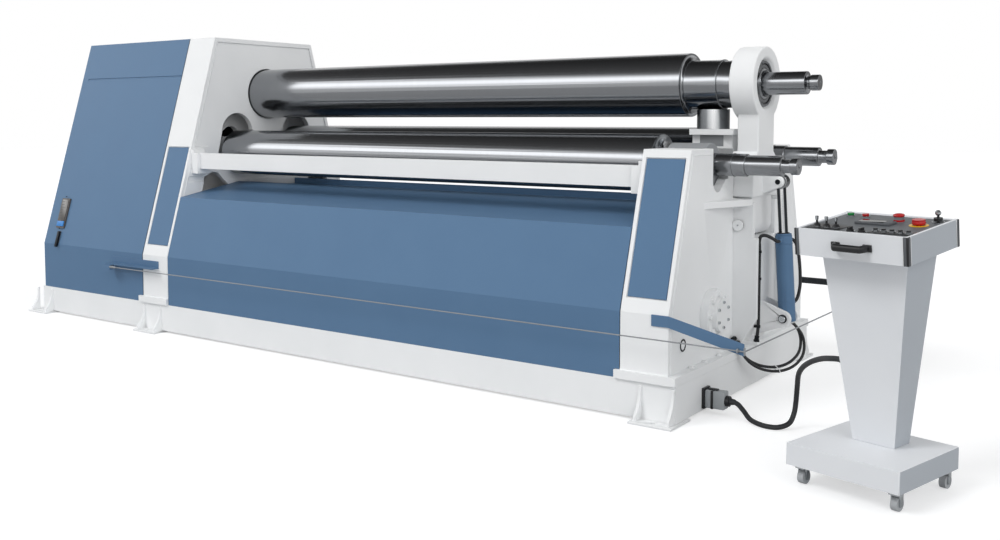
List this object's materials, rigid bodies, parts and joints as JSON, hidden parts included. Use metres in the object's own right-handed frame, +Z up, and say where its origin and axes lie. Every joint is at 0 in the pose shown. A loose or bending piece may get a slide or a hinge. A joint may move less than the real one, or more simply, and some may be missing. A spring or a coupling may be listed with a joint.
{
  "type": "plate rolling machine",
  "caption": "Hydraulic plate rolling machine: top roll over two rolls on swinging arms, tilting drop bearing at one end, drive cabinet at the other, and a rolling control console.",
  "frame": {"origin": "middle of the whole machine's box, on the floor", "axes": "+X along the rolls towards the drop end and console, +Y to the rear, +Z up"},
  "size_m": [6.0252, 2.2228, 1.84],
  "materials": {
    "white_paint": "satin light grey-white machine enamel",
    "blue_paint": "satin steel-blue machine enamel",
    "polished_steel": "turned and polished roll steel",
    "turned_steel": "turned steel with fine tool marks",
    "oiled_steel": "dark oiled steel",
    "grey_cast": "grey painted casting",
    "gauge_glass": "clear gauge in a grey frame",
    "black_rubber": "matte black hose and cable rubber",
    "panel_grey": "dark grey textured panel",
    "wire_steel": "twisted steel wire",
    "black_plastic": "black moulded plastic",
    "red_plastic": "red moulded plastic",
    "green_plastic": "green moulded plastic",
    "caster_rubber": "grey caster tyre",
    "bright_zinc": "bright zinc plated steel"
  },
  "bodies": {
    "frame": {"base_frame": "white_paint", "ledge_plates": "white_paint", "left_stand": "white_paint", "right_stand": "white_paint", "inset_panels": "blue_paint", "front_beam": "white_paint", "front_cover": "blue_paint", "rear_cover": "blue_paint", "drive_cabinet": "blue_paint", "level_gauge": "gauge_glass", "pivot_flanges": "white_paint", "support_tower": "white_paint", "yoke_pedestal": "white_paint", "drop_end_pins": "oiled_steel", "bearing_cartridge": "oiled_steel", "tilt_hoses": "black_rubber", "yoke_hose": "black_rubber", "top_gearmotor": "grey_cast", "hydraulic_unit": "blue_paint", "electrical_box": "grey_cast", "trip_brackets": "blue_paint", "trip_wire": "wire_steel", "power_socket": "black_plastic", "power_cable": "black_rubber", "console_base": "white_paint", "console_column": "white_paint", "console_desk": "white_paint", "console_panel": "panel_grey", "console_handle": "black_plastic"},
    "support_piston": {"support_piston": "turned_steel"},
    "yoke": {"yoke": "white_paint"},
    "tilt_barrel": {"tilt_barrel": "blue_paint", "barrel_hose": "black_rubber"},
    "tilt_rod": {"tilt_rod": "turned_steel"},
    "top_roll": {"top_roll": "polished_steel"},
    "front_arm": {"front_arm": "grey_cast"},
    "front_roll": {"front_roll": "polished_steel"},
    "rear_arm": {"rear_arm": "grey_cast"},
    "rear_roll": {"rear_roll": "polished_steel"},
    "front_lift_barrels": {"front_lift_barrels": "blue_paint"},
    "front_lift_rods": {"front_lift_rods": "turned_steel"},
    "rear_lift_barrels": {"rear_lift_barrels": "blue_paint"},
    "rear_lift_rods": {"rear_lift_rods": "turned_steel"},
    "joystick_1": {"joystick_1": "black_plastic"},
    "joystick_2": {"joystick_2": "black_plastic"},
    "joystick_3": {"joystick_3": "black_plastic"},
    "selector_1": {"selector_1": "black_plastic"},
    "selector_2": {"selector_2": "black_plastic"},
    "side_lever": {"side_lever": "black_plastic"},
    "stop_button": {"stop_button": "red_plastic"},
    "start_button": {"start_button": "green_plastic"},
    "off_button": {"off_button": "red_plastic"},
    "caster_fork_1": {"caster_fork_1": "bright_zinc"},
    "caster_wheel_1": {"caster_wheel_1": "caster_rubber"},
    "caster_fork_2": {"caster_fork_2": "bright_zinc"},
    "caster_wheel_2": {"caster_wheel_2": "caster_rubber"},
    "caster_fork_3": {"caster_fork_3": "bright_zinc"},
    "caster_wheel_3": {"caster_wheel_3": "caster_rubber"},
    "caster_fork_4": {"caster_fork_4": "bright_zinc"},
    "caster_wheel_4": {"caster_wheel_4": "caster_rubber"}
  },
  "joints": [
    {"name": "top_roll_spin", "type": "hinge", "parent": "frame", "child": "top_roll", "pos_m": [-0.07758, 0.23644, 1.49], "axis": [1, 0, 0], "continuous": true},
    {"name": "front_arm_lift", "type": "hinge", "parent": "frame", "child": "front_arm", "pos_m": [-0.07758, 0.64244, 0.425], "axis": [-1, 0, 0], "range_deg": [-3.5, 8.5]},
    {"name": "front_roll_spin", "type": "hinge", "parent": "front_arm", "child": "front_roll", "pos_m": [-0.07758, -0.02763, 1.10687], "axis": [1, 0, 0], "continuous": true},
    {"name": "rear_arm_lift", "type": "hinge", "parent": "frame", "child": "rear_arm", "pos_m": [-0.07758, -0.16956, 0.425], "axis": [1, 0, 0], "range_deg": [-6, 6]},
    {"name": "rear_roll_spin", "type": "hinge", "parent": "rear_arm", "child": "rear_roll", "pos_m": [-0.07758, 0.47013, 1.13545], "axis": [1, 0, 0], "continuous": true},
    {"name": "yoke_tilt", "type": "hinge", "parent": "frame", "child": "yoke", "pos_m": [1.84242, 0.23644, 0.815], "axis": [0, 1, 0], "range_deg": [0, 45]},
    {"name": "tilt_barrel_swing", "type": "hinge", "parent": "frame", "child": "tilt_barrel", "pos_m": [2.03143, 0.23644, 0.369], "axis": [0, 1, 0], "range_deg": [0, 11.4]},
    {"name": "tilt_rod_slide", "type": "slide", "parent": "tilt_barrel", "child": "tilt_rod", "axis": [-0.0628, 0, 0.998], "range_m": [-0.1565, 0]},
    {"name": "support_piston_slide", "type": "slide", "parent": "frame", "child": "support_piston", "axis": [0, 0, 1], "range_m": [-0.025, 0]},
    {"name": "front_barrel_swing", "type": "hinge", "parent": "frame", "child": "front_lift_barrels", "pos_m": [-0.07758, 0.11683, 0.25], "axis": [-1, 0, 0], "range_deg": [-2.4, 5.8]},
    {"name": "front_rod_slide", "type": "slide", "parent": "front_lift_barrels", "child": "front_lift_rods", "axis": [0, 0, 1], "range_m": [-0.032, 0.0775]},
    {"name": "rear_barrel_swing", "type": "hinge", "parent": "frame", "child": "rear_lift_barrels", "pos_m": [-0.07758, 0.33895, 0.25], "axis": [1, 0, 0], "range_deg": [-4.2, 4.2]},
    {"name": "rear_rod_slide", "type": "slide", "parent": "rear_lift_barrels", "child": "rear_lift_rods", "axis": [0, 0, 1], "range_m": [-0.054, 0.054]},
    {"name": "joystick_1_tilt", "type": "hinge", "parent": "frame", "child": "joystick_1", "pos_m": [2.56354, -0.93571, 0.93089], "axis": [0.972, -0.2351, 0], "range_deg": [-15, 15], "stiffness_Nm_per_rad": 0.4},
    {"name": "joystick_2_tilt", "type": "hinge", "parent": "frame", "child": "joystick_2", "pos_m": [2.60048, -0.94464, 0.93089], "axis": [0.972, -0.2351, 0], "range_deg": [-15, 15], "stiffness_Nm_per_rad": 0.4},
    {"name": "joystick_3_tilt", "type": "hinge", "parent": "frame", "child": "joystick_3", "pos_m": [2.63741, -0.95358, 0.93089], "axis": [0.972, -0.2351, 0], "range_deg": [-15, 15], "stiffness_Nm_per_rad": 0.4},
    {"name": "selector_1_turn", "type": "hinge", "parent": "frame", "child": "selector_1", "pos_m": [2.7019, -1.00598, 0.92682], "axis": [-0.0266, -0.11, 0.9936], "range_deg": [-45, 45]},
    {"name": "selector_2_turn", "type": "hinge", "parent": "frame", "child": "selector_2", "pos_m": [2.7437, -1.01609, 0.92682], "axis": [-0.0266, -0.11, 0.9936], "range_deg": [-45, 45]},
    {"name": "side_lever_tilt", "type": "hinge", "parent": "frame", "child": "side_lever", "pos_m": [2.94246, -0.7984, 0.95625], "axis": [0.972, -0.2351, 0], "range_deg": [-20, 20]},
    {"name": "stop_button_push", "type": "slide", "parent": "frame", "child": "stop_button", "axis": [-0.0266, -0.11, 0.9936], "range_m": [-0.004, 0]},
    {"name": "start_button_push", "type": "slide", "parent": "frame", "child": "start_button", "axis": [-0.0266, -0.11, 0.9936], "range_m": [-0.004, 0], "stiffness_N_per_m": 250},
    {"name": "off_button_push", "type": "slide", "parent": "frame", "child": "off_button", "axis": [-0.0266, -0.11, 0.9936], "range_m": [-0.004, 0], "stiffness_N_per_m": 250},
    {"name": "caster_swivel_1", "type": "hinge", "parent": "frame", "child": "caster_fork_1", "pos_m": [2.5365, -0.97946, 0.04], "axis": [0, 0, 1], "continuous": true},
    {"name": "caster_wheel_1_spin", "type": "hinge", "parent": "caster_fork_1", "child": "caster_wheel_1", "pos_m": [2.54073, -0.96197, 0.025], "axis": [0.972, -0.2351, 0], "continuous": true},
    {"name": "caster_swivel_2", "type": "hinge", "parent": "frame", "child": "caster_fork_2", "pos_m": [2.8864, -1.06412, 0.04], "axis": [0, 0, 1], "continuous": true},
    {"name": "caster_wheel_2_spin", "type": "hinge", "parent": "caster_fork_2", "child": "caster_wheel_2", "pos_m": [2.89064, -1.04662, 0.025], "axis": [0.972, -0.2351, 0], "continuous": true},
    {"name": "caster_swivel_3", "type": "hinge", "parent": "frame", "child": "caster_fork_3", "pos_m": [2.61645, -0.649, 0.04], "axis": [0, 0, 1], "continuous": true},
    {"name": "caster_wheel_3_spin", "type": "hinge", "parent": "caster_fork_3", "child": "caster_wheel_3", "pos_m": [2.62068, -0.6315, 0.025], "axis": [0.972, -0.2351, 0], "continuous": true},
    {"name": "caster_swivel_4", "type": "hinge", "parent": "frame", "child": "caster_fork_4", "pos_m": [2.96635, -0.73365, 0.04], "axis": [0, 0, 1], "continuous": true},
    {"name": "caster_wheel_4_spin", "type": "hinge", "parent": "caster_fork_4", "child": "caster_wheel_4", "pos_m": [2.97058, -0.71615, 0.025], "axis": [0.972, -0.2351, 0], "continuous": true}
  ],
  "couplings": [
    {"joint": "tilt_barrel_swing", "follows": "yoke_tilt", "ratio": 0.2514},
    {"joint": "tilt_rod_slide", "follows": "yoke_tilt", "m_per_rad": -0.19879},
    {"joint": "front_barrel_swing", "follows": "front_arm_lift", "ratio": 0.6725},
    {"joint": "front_rod_slide", "follows": "front_arm_lift", "m_per_rad": 0.51874},
    {"joint": "rear_barrel_swing", "follows": "rear_arm_lift", "ratio": 0.6953},
    {"joint": "rear_rod_slide", "follows": "rear_arm_lift", "m_per_rad": 0.51045}
  ]
}
